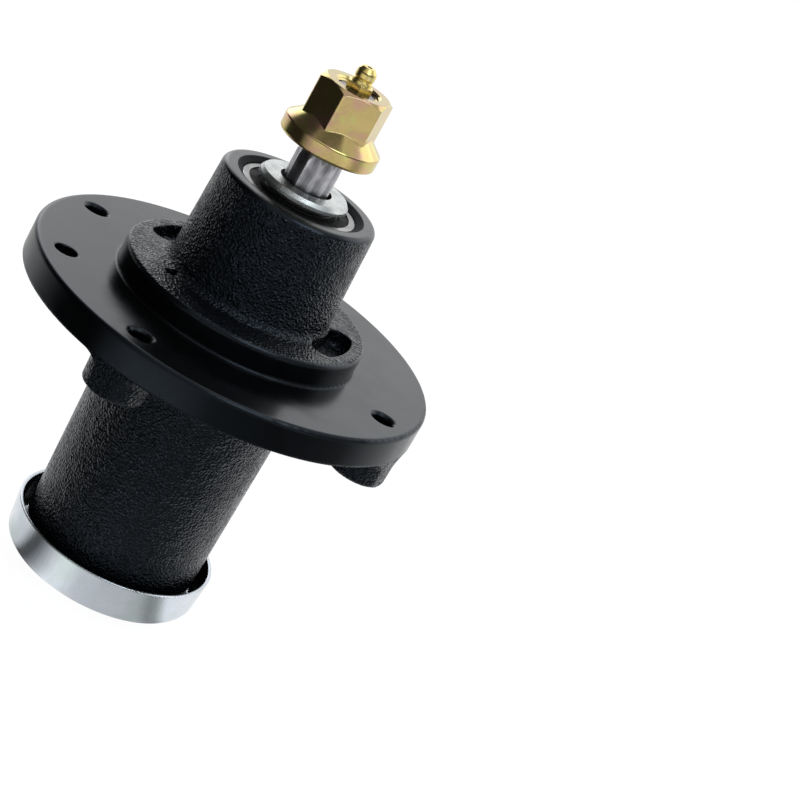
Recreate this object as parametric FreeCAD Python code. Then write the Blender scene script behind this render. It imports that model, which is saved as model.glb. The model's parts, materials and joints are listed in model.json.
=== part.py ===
import FreeCAD, Part
import math
import os

# Mower deck spindle: a cast housing on a round deck flange, a splined shaft that runs in two sealed
# ball bearings, and the hardware stacked on the shaft. Millimetres, +Z up along the shaft, origin at
# the centre of the blade seat that the spindle stands on.

# Deck flange, its bolt holes and the lugs under them
BOLT_CIRCLE_D = 120.65
BOLT_EDGE_DISTANCE = 9.525
BOLT_COUNT = 4
BOLT_START_ANGLE = 45.0
BOLT_HOLE_D = 7.4
BOLT_MOUTH_CHAMFER = 0.9
FLANGE_T = 10.0
FLANGE_EDGE_R = 1.3
LUG_D = 21.0
LUG_DROP = 10.0
LUG_DRAFT_DEG = 2.0
LUG_ROOT_R = 3.5
LUG_EDGE_R = 1.2
DRAIN_HOLE_D = 8.0
DRAIN_HOLE_ANGLE = 180.0

# Pilot that centres the housing in the deck, with two cored pockets and a dimple in its top
PILOT_D = 84.2
PILOT_H = 8.5
PILOT_EDGE_R = 1.5
PILOT_ROOT_R = 0.6
POCKET_RIM_WALL = 4.6
POCKET_HUB_WALL = 0.7
POCKET_DEPTH = 5.5
POCKET_FLOOR_R = 2.0
POCKET_SPAN_DEG = 32.0
POCKET_OFFSET_DEG = 80.5
DIMPLE_D = 4.0
DIMPLE_DEPTH = 2.5
DIMPLE_INSET = 2.8
DIMPLE_ANGLE = 196.0

# Hub above the deck and tube below it
HUB_H = 45.2
HUB_WALL = 6.9
HUB_DRAFT_DEG = 2.0
HUB_ROOT_R = 3.0
HUB_EDGE_R = 2.0
MOUTH_CHAMFER_W = 2.0
MOUTH_CHAMFER_H = 1.2
TUBE_L = 95.0
TUBE_WALL = 10.4
TUBE_DRAFT_DEG = 1.3
TUBE_ROOT_R = 5.0
TUBE_EDGE_R = 2.0
TUBE_MOUTH_CHAMFER = 1.0
CAVITY_EXTRA_R = 2.0
BEARING_STOP_W = 2.5
BEARING_STOP_T = 5.0

# Both ball bearings, sealed on the side that faces out of the housing
BEARING_BORE_D = 17.0
BEARING_OD = 40.0
BEARING_W = 12.0
BEARING_RECESS = 1.4
RING_EDGE_R = 0.6
INNER_LAND_H = 3.75
OUTER_LAND_H = 3.4
BALL_D = 6.747
BALL_COUNT = 8
BALL_PLAY = 0.05
CAGE_W = 3.2
CAGE_WEB = 1.5
CAGE_PRONG = 1.6
CAGE_PLAY = 0.08
SEAL_T = 1.4
SEAL_INSET = 0.4
SEAL_SEAT_DEPTH = 1.0
SEAL_LIP_GAP = 0.1
SEAL_GROOVE_W = 1.0
SEAL_GROOVE_DEPTH = 0.5

# Shaft with its blade seat at the foot, spline for the pulley and thread for the nut
SEAT_D = 39.0
SEAT_T = 4.2
SEAT_EDGE = 0.8
BLADE_HOLE_D = 8.5
BLADE_HOLE_DEPTH = 28.0
BLADE_HOLE_CHAMFER = 1.0
SPLINE_STEP = 0.56
SPLINE_TEETH = 11
SPLINE_PHASE = -5.0
SPLINE_LAND_DEG = 1.6
SPLINE_GROOVE_DEPTH = 0.78
SPLINE_OVER_WASHER = 12.4
SPLINE_END_CHAMFER = 3.4
JOURNAL_OVER_COLLAR = 0.5
THREAD_STEP = 0.8
THREAD_L = 21.5
THREAD_END_CHAMFER = 1.0
GREASE_BORE_D = 4.0
GREASE_PORT_D = 6.0
GREASE_PORT_DEPTH = 8.0

# Pieces stacked on the shaft
SLIP_FIT = 0.02
SPACER_WALL = 2.5
LOWER_SPACER_L = 8.0
LOWER_SPACER_WALL = 3.0
COLLAR_H = 2.2
COLLAR_WALL = 2.8
TURNED_EDGE = 0.3
WASHER_OD = 30.8
WASHER_T = 2.6
WASHER_BEVEL_W = 1.0
WASHER_BEVEL_H = 1.3
WASHER_PLAY = 0.5
CUP_GAP = 3.6
CUP_DEPTH = 13.7
CUP_WALL = 1.2
CUP_TAPER = 1.2
CUP_CORNER_R = 3.2

# Flanged nut on the thread
NUT_ABOVE_SPLINE = 1.2
NUT_H = 21.6
NUT_AF = 22.4
NUT_CORNER_D = 25.5
NUT_PHASE = -6.0
NUT_FLANGE_D = 32.8
NUT_FLANGE_H = 4.8
NUT_FLANGE_EDGE_R = 0.9
NUT_CONE_DEG = 39.0
NUT_CHAMFER_DEG = 35.0
NUT_CHAMFER_INSET = 0.3
NUT_MOUTH_CHAMFER = 0.7
THREAD_PLAY = 0.05

# Grease fitting in the end of the shaft
FITTING_AF = 8.0
FITTING_HEX_H = 2.8
FITTING_PHASE = 12.0
FITTING_COLLAR_D = 6.7
FITTING_COLLAR_H = 1.3
FITTING_NECK_D = 5.8
FITTING_NECK_H = 0.3
FITTING_HEAD_D = 6.56
FITTING_FLARE_H = 0.6
FITTING_BARREL_H = 1.9
FITTING_SHOULDER_R = 2.0
FITTING_TIP_D = 4.2
FITTING_TIP_RISE = 1.6
FITTING_BORE_D = 2.7
FITTING_BORE_DEPTH = 6.5
FITTING_INLET_D = 1.7
FITTING_INLET_DEPTH = 0.5
FITTING_OUTLET_D = 1.5
CHECK_BALL_D = 2.4
CHECK_BALL_DROP = 1.42
SPRING_WIRE_D = 0.3
SPRING_TURNS = 4
SPRING_WIRE_SIDES = 6
SPRING_PLAY = 0.02

# Reach of a cutter past the face that it opens
CUT_PAST = 1.0

# Radii that follow from the sizes above
JOURNAL_R = BEARING_BORE_D / 2
SEAT_BORE_R = BEARING_OD / 2
SPLINE_R = JOURNAL_R - SPLINE_STEP
THREAD_R = SPLINE_R - THREAD_STEP
PITCH_R = (BEARING_BORE_D + BEARING_OD) / 4
BALL_R = BALL_D / 2
BOLT_CIRCLE_R = BOLT_CIRCLE_D / 2
FLANGE_R = BOLT_CIRCLE_R + BOLT_EDGE_DISTANCE
PILOT_R = PILOT_D / 2
HUB_TOP_R = SEAT_BORE_R + HUB_WALL
HUB_ROOT_OUTER_R = HUB_TOP_R + (HUB_H - PILOT_H) * math.tan(math.radians(HUB_DRAFT_DEG))
TUBE_END_R = SEAT_BORE_R + TUBE_WALL
TUBE_ROOT_OUTER_R = TUBE_END_R + (TUBE_L - FLANGE_T) * math.tan(math.radians(TUBE_DRAFT_DEG))

# Heights of the stack, from the blade seat upwards
CUP_Z = SEAT_T
LOWER_SPACER_Z = CUP_Z + CUP_WALL
LOWER_BEARING_Z = LOWER_SPACER_Z + LOWER_SPACER_L
TUBE_END_Z = LOWER_BEARING_Z - BEARING_RECESS
DECK_Z = TUBE_END_Z + TUBE_L
FLANGE_UNDER_Z = DECK_Z - FLANGE_T
PILOT_TOP_Z = DECK_Z + PILOT_H
HUB_TOP_Z = DECK_Z + HUB_H
UPPER_BEARING_Z = HUB_TOP_Z - BEARING_RECESS - BEARING_W
SPACER_Z = LOWER_BEARING_Z + BEARING_W
SPACER_L = UPPER_BEARING_Z - SPACER_Z
GREASE_HOLE_Z = SPACER_Z + SPACER_L / 2
COLLAR_Z = UPPER_BEARING_Z + BEARING_W
WASHER_Z = COLLAR_Z + COLLAR_H
JOURNAL_END_Z = WASHER_Z + JOURNAL_OVER_COLLAR
SPLINE_END_Z = WASHER_Z + WASHER_T + SPLINE_OVER_WASHER
NUT_Z = SPLINE_END_Z + NUT_ABOVE_SPLINE
SHAFT_END_Z = SPLINE_END_Z + THREAD_L
FITTING_COLLAR_Z = SHAFT_END_Z + FITTING_HEX_H
FITTING_NECK_Z = FITTING_COLLAR_Z + FITTING_COLLAR_H
FITTING_HEAD_Z = FITTING_NECK_Z + FITTING_NECK_H + FITTING_FLARE_H
FITTING_SHOULDER_Z = FITTING_HEAD_Z + FITTING_BARREL_H
FITTING_TIP_Z = FITTING_SHOULDER_Z + FITTING_TIP_RISE
CHECK_BALL_Z = FITTING_TIP_Z - CHECK_BALL_DROP

AXIS_FOOT = FreeCAD.Vector(0, 0, 0)
UP = FreeCAD.Vector(0, 0, 1)


def rounded_outline(corners):
    """Closed wire in the XZ plane through (radius, height, corner radius) points."""
    points = [FreeCAD.Vector(radius, 0, height) for radius, height, _ in corners]
    count = len(points)
    starts, ends, arcs = [], [], []
    for index, (_, _, wanted) in enumerate(corners):
        point = points[index]
        back = points[index - 1] - point
        ahead = points[(index + 1) % count] - point
        half_angle = back.getAngle(ahead) / 2
        room = min(back.Length, ahead.Length) * 0.49
        radius = min(wanted, room * math.tan(half_angle))
        if radius == 0:
            starts.append(point)
            ends.append(point)
            arcs.append(None)
            continue
        back.normalize()
        ahead.normalize()
        trim = radius / math.tan(half_angle)
        inward = back + ahead
        inward.normalize()
        middle = point + inward * (radius / math.sin(half_angle) - radius)
        starts.append(point + back * trim)
        ends.append(point + ahead * trim)
        arcs.append(Part.Arc(starts[-1], middle, ends[-1]).toShape())
    edges = []
    for index in range(count):
        if arcs[index]:
            edges.append(arcs[index])
        edges.append(Part.makeLine(ends[index], starts[(index + 1) % count]))
    return Part.Wire(edges)


def turned(corners, sweep_deg=360.0):
    """Solid of revolution about Z of a (radius, height, corner radius) outline."""
    return Part.Face(rounded_outline(corners)).revolve(AXIS_FOOT, UP, sweep_deg)


def sleeve(inner_r, outer_r, foot_z, length, edge=0.0):
    """Plain turned ring with chamfered outer edges."""
    top_z = foot_z + length
    return turned([
        (inner_r, foot_z, 0), (outer_r - edge, foot_z, 0), (outer_r, foot_z + edge, 0),
        (outer_r, top_z - edge, 0), (outer_r - edge, top_z, 0), (inner_r, top_z, 0),
    ] if edge else [
        (inner_r, foot_z, 0), (outer_r, foot_z, 0), (outer_r, top_z, 0), (inner_r, top_z, 0),
    ])


def at_angle(shape, angle_deg, radius=0.0):
    """Copy of a shape moved out along X by a radius, then turned about Z."""
    moved = shape.copy()
    moved.translate(FreeCAD.Vector(radius, 0, 0))
    moved.rotate(AXIS_FOOT, UP, angle_deg)
    return moved


def around(shape, count, start_deg=0.0, radius=0.0):
    """Evenly spaced copies of a shape around Z."""
    return [at_angle(shape, start_deg + 360.0 * k / count, radius) for k in range(count)]


def hexagon(across_flats, foot_z, height, phase_deg):
    """Hexagonal prism about Z with a corner at the phase angle."""
    corner_r = across_flats / 2 / math.cos(math.radians(30))
    corners = []
    for k in range(6):
        angle = math.radians(phase_deg + 60 * k)
        corners.append(FreeCAD.Vector(corner_r * math.cos(angle), corner_r * math.sin(angle), foot_z))
    return Part.Face(Part.makePolygon(corners + corners[:1])).extrude(UP * height)


def housing_blank():
    """Turned form of the casting: hub, pilot, flange and tube round the bearing seats and cavity."""
    stop_r = SEAT_BORE_R - BEARING_STOP_W
    cavity_r = SEAT_BORE_R + CAVITY_EXTRA_R
    cavity_slope = cavity_r - stop_r
    lower_stop_z = LOWER_BEARING_Z + BEARING_W
    outside = [
        (SEAT_BORE_R + MOUTH_CHAMFER_W, HUB_TOP_Z, 0), (HUB_TOP_R, HUB_TOP_Z, HUB_EDGE_R),
        (HUB_ROOT_OUTER_R, PILOT_TOP_Z, HUB_ROOT_R), (PILOT_R, PILOT_TOP_Z, PILOT_EDGE_R),
        (PILOT_R, DECK_Z, PILOT_ROOT_R), (FLANGE_R, DECK_Z, FLANGE_EDGE_R), (FLANGE_R, FLANGE_UNDER_Z, 0),
        (TUBE_ROOT_OUTER_R, FLANGE_UNDER_Z, TUBE_ROOT_R), (TUBE_END_R, TUBE_END_Z, TUBE_EDGE_R),
    ]
    inside = [
        (SEAT_BORE_R + TUBE_MOUTH_CHAMFER, TUBE_END_Z, 0), (SEAT_BORE_R, TUBE_END_Z + TUBE_MOUTH_CHAMFER, 0),
        (SEAT_BORE_R, lower_stop_z, 0), (stop_r, lower_stop_z, 0),
        (stop_r, lower_stop_z + BEARING_STOP_T, 0),
        (cavity_r, lower_stop_z + BEARING_STOP_T + cavity_slope, 0),
        (cavity_r, UPPER_BEARING_Z - BEARING_STOP_T - cavity_slope, 0),
        (stop_r, UPPER_BEARING_Z - BEARING_STOP_T, 0), (stop_r, UPPER_BEARING_Z, 0),
        (SEAT_BORE_R, UPPER_BEARING_Z, 0), (SEAT_BORE_R, HUB_TOP_Z - MOUTH_CHAMFER_H, 0),
    ]
    return turned(outside + inside)


def bolt_lug():
    """Tapered boss under one bolt hole, blended into the underside of the flange."""
    root_r = LUG_D / 2
    foot_z = FLANGE_UNDER_Z - LUG_DROP
    foot_r = root_r - LUG_DROP * math.tan(math.radians(LUG_DRAFT_DEG))
    blend_r = root_r + 2 * LUG_ROOT_R
    inside_z = FLANGE_UNDER_Z + FLANGE_T / 2
    return turned([
        (0, foot_z, 0), (foot_r, foot_z, LUG_EDGE_R), (root_r, FLANGE_UNDER_Z, LUG_ROOT_R),
        (blend_r, FLANGE_UNDER_Z, 0), (blend_r, inside_z, 0), (0, inside_z, 0),
    ])


def bolt_hole():
    """Cutter for one deck bolt hole with a chamfered mouth."""
    hole_r = BOLT_HOLE_D / 2
    mouth_r = hole_r + BOLT_MOUTH_CHAMFER
    foot_z = FLANGE_UNDER_Z - LUG_DROP - CUT_PAST
    return turned([
        (0, foot_z, 0), (hole_r, foot_z, 0), (hole_r, DECK_Z - BOLT_MOUTH_CHAMFER, 0),
        (mouth_r, DECK_Z, 0), (mouth_r, DECK_Z + CUT_PAST, 0), (0, DECK_Z + CUT_PAST, 0),
    ])


def pocket():
    """Cutter for one kidney-shaped pocket, centred on +X, between the hub and the pilot rim."""
    inner_r = HUB_ROOT_OUTER_R + POCKET_HUB_WALL
    outer_r = PILOT_R - POCKET_RIM_WALL
    half_width = (outer_r - inner_r) / 2
    floor_z = PILOT_TOP_Z - POCKET_DEPTH
    top_z = PILOT_TOP_Z + HUB_ROOT_R
    run = at_angle(turned([
        (inner_r, floor_z, POCKET_FLOOR_R), (outer_r, floor_z, POCKET_FLOOR_R),
        (outer_r, top_z, 0), (inner_r, top_z, 0),
    ], POCKET_SPAN_DEG), -POCKET_SPAN_DEG / 2)
    end = turned([
        (0, floor_z, 0), (half_width, floor_z, POCKET_FLOOR_R), (half_width, top_z, 0), (0, top_z, 0),
    ])
    ends = [at_angle(end, side * POCKET_SPAN_DEG / 2, inner_r + half_width) for side in (-1, 1)]
    return run.multiFuse(ends)


def dimple():
    """Round-bottomed cutter for the dimple beside the hub."""
    dimple_r = DIMPLE_D / 2
    return turned([
        (0, PILOT_TOP_Z - DIMPLE_DEPTH, 0), (dimple_r, PILOT_TOP_Z - DIMPLE_DEPTH, dimple_r / 2),
        (dimple_r, PILOT_TOP_Z + HUB_ROOT_R, 0), (0, PILOT_TOP_Z + HUB_ROOT_R, 0),
    ])


def spindle_housing():
    """Casting with its lugs, holes and pockets."""
    rim = Part.makeCylinder(FLANGE_R, DECK_Z, AXIS_FOOT, UP)
    lugs = [lug.common(rim) for lug in around(bolt_lug(), BOLT_COUNT, BOLT_START_ANGLE, BOLT_CIRCLE_R)]
    drain = Part.makeCylinder(DRAIN_HOLE_D / 2, FLANGE_T + 2 * CUT_PAST,
                              FreeCAD.Vector(0, 0, FLANGE_UNDER_Z - CUT_PAST), UP)
    cutters = around(bolt_hole(), BOLT_COUNT, BOLT_START_ANGLE, BOLT_CIRCLE_R)
    cutters.append(at_angle(drain, DRAIN_HOLE_ANGLE, BOLT_CIRCLE_R))
    cutters += [at_angle(pocket(), BOLT_START_ANGLE + side * POCKET_OFFSET_DEG) for side in (-1, 1)]
    cutters.append(at_angle(dimple(), DIMPLE_ANGLE, HUB_ROOT_OUTER_R + DIMPLE_INSET))
    return housing_blank().multiFuse(lugs).cut(cutters).removeSplitter()


def ball_groove(play):
    """Torus that the balls sweep, used to cut the raceways."""
    return Part.makeTorus(PITCH_R, BALL_R + play)


def bearing_inner_ring():
    """Inner ring about the bearing's middle plane, with its raceway."""
    half_w = BEARING_W / 2
    land_r = JOURNAL_R + INNER_LAND_H
    return turned([
        (JOURNAL_R, -half_w, RING_EDGE_R), (land_r, -half_w, 0),
        (land_r, half_w, 0), (JOURNAL_R, half_w, RING_EDGE_R),
    ]).cut(ball_groove(BALL_PLAY))


def bearing_outer_ring():
    """Outer ring with its raceway, and a step on the upper side that takes the seal."""
    half_w = BEARING_W / 2
    land_r = SEAT_BORE_R - OUTER_LAND_H
    step_r = land_r + SEAL_SEAT_DEPTH
    step_z = half_w - SEAL_INSET - SEAL_T
    return turned([
        (land_r, -half_w, 0), (SEAT_BORE_R, -half_w, RING_EDGE_R), (SEAT_BORE_R, half_w, RING_EDGE_R),
        (step_r, half_w, 0), (step_r, step_z, 0), (land_r, step_z, 0),
    ]).cut(ball_groove(BALL_PLAY))


def bearing_seal():
    """Rubber seal in the step of the outer ring, with a moulded groove near its lip."""
    lip_r = JOURNAL_R + INNER_LAND_H + SEAL_LIP_GAP
    rim_r = SEAT_BORE_R - OUTER_LAND_H + SEAL_SEAT_DEPTH
    top_z = BEARING_W / 2 - SEAL_INSET
    foot_z = top_z - SEAL_T
    groove_r = lip_r + SEAL_GROOVE_W
    return turned([
        (lip_r, foot_z, 0), (rim_r, foot_z, 0), (rim_r, top_z, 0),
        (groove_r + SEAL_GROOVE_W, top_z, 0), (groove_r + SEAL_GROOVE_W, top_z - SEAL_GROOVE_DEPTH, 0),
        (groove_r, top_z - SEAL_GROOVE_DEPTH, 0), (groove_r, top_z, 0), (lip_r, top_z, 0),
    ])


def bearing_balls():
    """Separate balls on the pitch circle."""
    return Part.makeCompound(around(Part.makeSphere(BALL_R), BALL_COUNT, 0, PITCH_R))


def bearing_cage():
    """Crown cage: a ring under the balls with prongs between them."""
    foot_z = -BALL_R - CAGE_PLAY - CAGE_WEB
    blank = sleeve(PITCH_R - CAGE_W / 2, PITCH_R + CAGE_W / 2, foot_z, CAGE_PRONG - foot_z)
    return blank.cut(around(Part.makeSphere(BALL_R + CAGE_PLAY), BALL_COUNT, 0, PITCH_R))


def bearing(foot_z, sealed_up):
    """Pieces of one bearing on its seat, with the sealed side up or down."""
    pieces = {
        "inner_ring": bearing_inner_ring(), "outer_ring": bearing_outer_ring(), "seal": bearing_seal(),
        "balls": bearing_balls(), "cage": bearing_cage(),
    }
    for shape in pieces.values():
        if not sealed_up:
            shape.rotate(AXIS_FOOT, FreeCAD.Vector(1, 0, 0), 180)
        shape.translate(FreeCAD.Vector(0, 0, foot_z + BEARING_W / 2))
    return pieces


def cross_hole(outer_r):
    """Radial cutter for the grease holes at the middle of the housing."""
    return Part.makeCylinder(GREASE_BORE_D / 2, 2 * outer_r + 2 * CUT_PAST,
                             FreeCAD.Vector(-outer_r - CUT_PAST, 0, GREASE_HOLE_Z), FreeCAD.Vector(1, 0, 0))


def spline_groove():
    """V-shaped cutter for one space between the pointed spline teeth, centred on +X."""
    root_r = SPLINE_R - SPLINE_GROOVE_DEPTH
    half_angle = math.radians(180.0 / SPLINE_TEETH - SPLINE_LAND_DEG / 2)
    crest_x = SPLINE_R * math.cos(half_angle)
    slope = SPLINE_R * math.sin(half_angle) / (crest_x - root_r)
    mouth_x = SPLINE_R + CUT_PAST
    mouth_y = (mouth_x - root_r) * slope
    section = [FreeCAD.Vector(x, y, JOURNAL_END_Z)
               for x, y in ((root_r, 0), (mouth_x, mouth_y), (mouth_x, -mouth_y), (root_r, 0))]
    return Part.Face(Part.makePolygon(section)).extrude(UP * (SPLINE_END_Z - JOURNAL_END_Z))


def spindle_shaft():
    """Shaft with blade seat, journals, spline, thread, blade bolt hole and grease passage."""
    seat_r = SEAT_D / 2
    hole_r = BLADE_HOLE_D / 2
    bore_r = GREASE_BORE_D / 2
    port_r = GREASE_PORT_D / 2
    port_z = SHAFT_END_Z - GREASE_PORT_DEPTH
    bar = turned([
        (0, 0, 0), (seat_r - SEAT_EDGE, 0, 0), (seat_r, SEAT_EDGE, 0), (seat_r, SEAT_T, 0),
        (JOURNAL_R, SEAT_T, 0), (JOURNAL_R, JOURNAL_END_Z, 0), (SPLINE_R, JOURNAL_END_Z, 0),
        (SPLINE_R, SPLINE_END_Z - SPLINE_END_CHAMFER, 0), (THREAD_R, SPLINE_END_Z, 0),
        (THREAD_R, SHAFT_END_Z - THREAD_END_CHAMFER, 0), (THREAD_R - THREAD_END_CHAMFER, SHAFT_END_Z, 0),
        (0, SHAFT_END_Z, 0),
    ])
    blade_hole = turned([
        (0, -CUT_PAST, 0), (hole_r + BLADE_HOLE_CHAMFER, -CUT_PAST, 0), (hole_r + BLADE_HOLE_CHAMFER, 0, 0),
        (hole_r, BLADE_HOLE_CHAMFER, 0), (hole_r, BLADE_HOLE_DEPTH, 0),
        (0, BLADE_HOLE_DEPTH + hole_r / 2, 0),
    ])
    grease_bore = turned([
        (0, GREASE_HOLE_Z, 0), (bore_r, GREASE_HOLE_Z, 0), (bore_r, port_z, 0), (port_r, port_z, 0),
        (port_r, SHAFT_END_Z + CUT_PAST, 0), (0, SHAFT_END_Z + CUT_PAST, 0),
    ])
    groove_start = SPLINE_PHASE + 180.0 / SPLINE_TEETH
    grooves = around(spline_groove(), SPLINE_TEETH, groove_start)
    return bar.cut([blade_hole, grease_bore, cross_hole(JOURNAL_R)] + grooves)


def bearing_spacer():
    """Tube that sets the inner rings apart, with holes that let the grease out."""
    outer_r = JOURNAL_R + SPACER_WALL
    tube = sleeve(JOURNAL_R + SLIP_FIT, outer_r, SPACER_Z, SPACER_L, TURNED_EDGE)
    return tube.cut(cross_hole(outer_r))


def lower_spacer():
    """Ring between the cup's floor and the lower inner ring."""
    outer_r = JOURNAL_R + LOWER_SPACER_WALL
    return sleeve(JOURNAL_R + SLIP_FIT, outer_r, LOWER_SPACER_Z, LOWER_SPACER_L, TURNED_EDGE)


def upper_collar():
    """Ring that carries the washer clear of the seal."""
    return sleeve(JOURNAL_R + SLIP_FIT, JOURNAL_R + COLLAR_WALL, COLLAR_Z, COLLAR_H, TURNED_EDGE)


def pulley_washer():
    """Thick washer with a bevelled upper edge."""
    outer_r = WASHER_OD / 2
    hole_r = JOURNAL_R + WASHER_PLAY
    top_z = WASHER_Z + WASHER_T
    return turned([
        (hole_r, WASHER_Z, 0), (outer_r, WASHER_Z, TURNED_EDGE), (outer_r, top_z - WASHER_BEVEL_H, 0),
        (outer_r - WASHER_BEVEL_W, top_z, 0), (hole_r, top_z, 0),
    ])


def dust_cup():
    """Pressed cup round the lower end of the tube, clamped on the blade seat."""
    rim_r = TUBE_END_R + CUP_GAP
    floor_r = rim_r - CUP_TAPER
    floor_z = CUP_Z + CUP_WALL
    rim_z = CUP_Z + CUP_DEPTH
    hole_r = JOURNAL_R + SLIP_FIT
    return turned([
        (hole_r, CUP_Z, 0), (floor_r + CUP_WALL, CUP_Z, CUP_CORNER_R),
        (rim_r + CUP_WALL, rim_z, CUP_WALL / 3), (rim_r, rim_z, CUP_WALL / 3),
        (floor_r, floor_z, CUP_CORNER_R - CUP_WALL), (hole_r, floor_z, 0),
    ])


def flange_nut():
    """Hexagon nut on a round flange, with a coned shoulder, blunt corners and a chamfered crown."""
    flange_r = NUT_FLANGE_D / 2
    shoulder_z = NUT_Z + NUT_FLANGE_H
    cone_rise = flange_r * math.tan(math.radians(NUT_CONE_DEG))
    top_z = NUT_Z + NUT_H
    corner_r = NUT_CORNER_D / 2
    crown_r = NUT_AF / 2 - NUT_CHAMFER_INSET
    chamfer_drop = (corner_r - crown_r) * math.tan(math.radians(NUT_CHAMFER_DEG))
    bore_r = THREAD_R + THREAD_PLAY
    mouth_r = bore_r + NUT_MOUTH_CHAMFER
    flange = turned([
        (0, NUT_Z, 0), (flange_r, NUT_Z, NUT_FLANGE_EDGE_R), (flange_r, shoulder_z, NUT_FLANGE_EDGE_R),
        (0, shoulder_z + cone_rise, 0),
    ])
    crown = turned([
        (0, NUT_Z, 0), (corner_r, NUT_Z, 0), (corner_r, top_z - chamfer_drop, 0), (crown_r, top_z, 0),
        (0, top_z, 0),
    ])
    bore = turned([
        (0, NUT_Z - CUT_PAST, 0), (mouth_r, NUT_Z - CUT_PAST, 0), (mouth_r, NUT_Z, 0),
        (bore_r, NUT_Z + NUT_MOUTH_CHAMFER, 0), (bore_r, top_z - NUT_MOUTH_CHAMFER, 0), (mouth_r, top_z, 0),
        (mouth_r, top_z + CUT_PAST, 0), (0, top_z + CUT_PAST, 0),
    ])
    hexagon_body = hexagon(NUT_AF, NUT_Z, NUT_H, NUT_PHASE).common(crown)
    return hexagon_body.fuse(flange).cut(bore).removeSplitter()


def grease_fitting_body():
    """Nipple with a shank in the shaft, a hexagon, a barrel head and the bore for its check ball."""
    collar_r = FITTING_COLLAR_D / 2
    neck_r = FITTING_NECK_D / 2
    head_r = FITTING_HEAD_D / 2
    tip_r = FITTING_TIP_D / 2
    bore_r = FITTING_BORE_D / 2
    inlet_r = FITTING_INLET_D / 2
    outlet_r = FITTING_OUTLET_D / 2
    shank_z = SHAFT_END_Z - GREASE_PORT_DEPTH + CUT_PAST
    step_z = FITTING_TIP_Z - FITTING_BORE_DEPTH
    inlet_z = FITTING_TIP_Z - FITTING_INLET_DEPTH
    outside = turned([
        (0, shank_z, 0), (GREASE_PORT_D / 2 - SLIP_FIT, shank_z, TURNED_EDGE),
        (GREASE_PORT_D / 2 - SLIP_FIT, SHAFT_END_Z, 0), (collar_r, SHAFT_END_Z, 0),
        (collar_r, FITTING_NECK_Z, TURNED_EDGE), (neck_r, FITTING_NECK_Z, 0),
        (neck_r, FITTING_NECK_Z + FITTING_NECK_H, 0), (head_r, FITTING_HEAD_Z, TURNED_EDGE),
        (head_r, FITTING_SHOULDER_Z, FITTING_SHOULDER_R), (tip_r, FITTING_TIP_Z, TURNED_EDGE),
        (0, FITTING_TIP_Z, 0),
    ])
    passage = turned([
        (0, shank_z - CUT_PAST, 0), (outlet_r, shank_z - CUT_PAST, 0), (outlet_r, step_z, 0),
        (bore_r, step_z, 0), (bore_r, inlet_z - (bore_r - inlet_r), 0), (inlet_r, inlet_z, 0),
        (inlet_r, FITTING_TIP_Z + CUT_PAST, 0), (0, FITTING_TIP_Z + CUT_PAST, 0),
    ])
    return outside.fuse(hexagon(FITTING_AF, SHAFT_END_Z, FITTING_HEX_H, FITTING_PHASE)).cut(passage)


def grease_fitting_ball():
    """Check ball just under the inlet of the nipple."""
    return Part.makeSphere(CHECK_BALL_D / 2, FreeCAD.Vector(0, 0, CHECK_BALL_Z))


def grease_fitting_spring():
    """Coil spring between the step in the bore and the check ball, with the wire as a fine prism."""
    wire_r = SPRING_WIRE_D / 2
    coil_r = FITTING_BORE_D / 2 - wire_r - 4 * SPRING_PLAY
    ball_r = CHECK_BALL_D / 2
    seat_drop = math.sqrt((ball_r + wire_r + SPRING_PLAY) ** 2 - coil_r ** 2)
    foot_z = FITTING_TIP_Z - FITTING_BORE_DEPTH + wire_r + SPRING_PLAY
    length = CHECK_BALL_Z - seat_drop - foot_z
    pitch = length / SPRING_TURNS
    rise = math.atan2(pitch, 2 * math.pi * coil_r)
    outward = FreeCAD.Vector(1, 0, 0)
    across = FreeCAD.Vector(0, -math.sin(rise), math.cos(rise))
    section = []
    for k in range(SPRING_WIRE_SIDES + 1):
        angle = 2 * math.pi * k / SPRING_WIRE_SIDES
        section.append(outward * (coil_r + wire_r * math.cos(angle)) + across * (wire_r * math.sin(angle)))
    path = Part.Wire(Part.makeHelix(pitch, length, coil_r).Edges)
    coil = path.makePipeShell([Part.makePolygon(section)], True, True)
    coil.translate(FreeCAD.Vector(0, 0, foot_z))
    return coil


def all_pieces():
    """Every piece of the spindle in place, by node name."""
    pieces = {
        "spindle_housing": spindle_housing(),
        "spindle_shaft": spindle_shaft(),
        "bearing_spacer": bearing_spacer(),
        "lower_spacer": lower_spacer(),
        "upper_collar": upper_collar(),
        "pulley_washer": pulley_washer(),
        "dust_cup": dust_cup(),
        "flange_nut": flange_nut(),
        "grease_fitting_body": grease_fitting_body(),
        "grease_fitting_ball": grease_fitting_ball(),
        "grease_fitting_spring": grease_fitting_spring(),
    }
    for side, foot_z in (("upper", UPPER_BEARING_Z), ("lower", LOWER_BEARING_Z)):
        for name, shape in bearing(foot_z, sealed_up=side == "upper").items():
            pieces[f"{side}_bearing_{name}"] = shape
    return pieces


os.makedirs("parts", exist_ok=True)
for node, piece in all_pieces().items():
    piece.exportStep(f"parts/{node}.step")
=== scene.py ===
import json
import logging
import math
from dataclasses import dataclass, field
from enum import Enum

import bmesh
import bpy
from mathutils import Matrix, Vector


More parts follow.
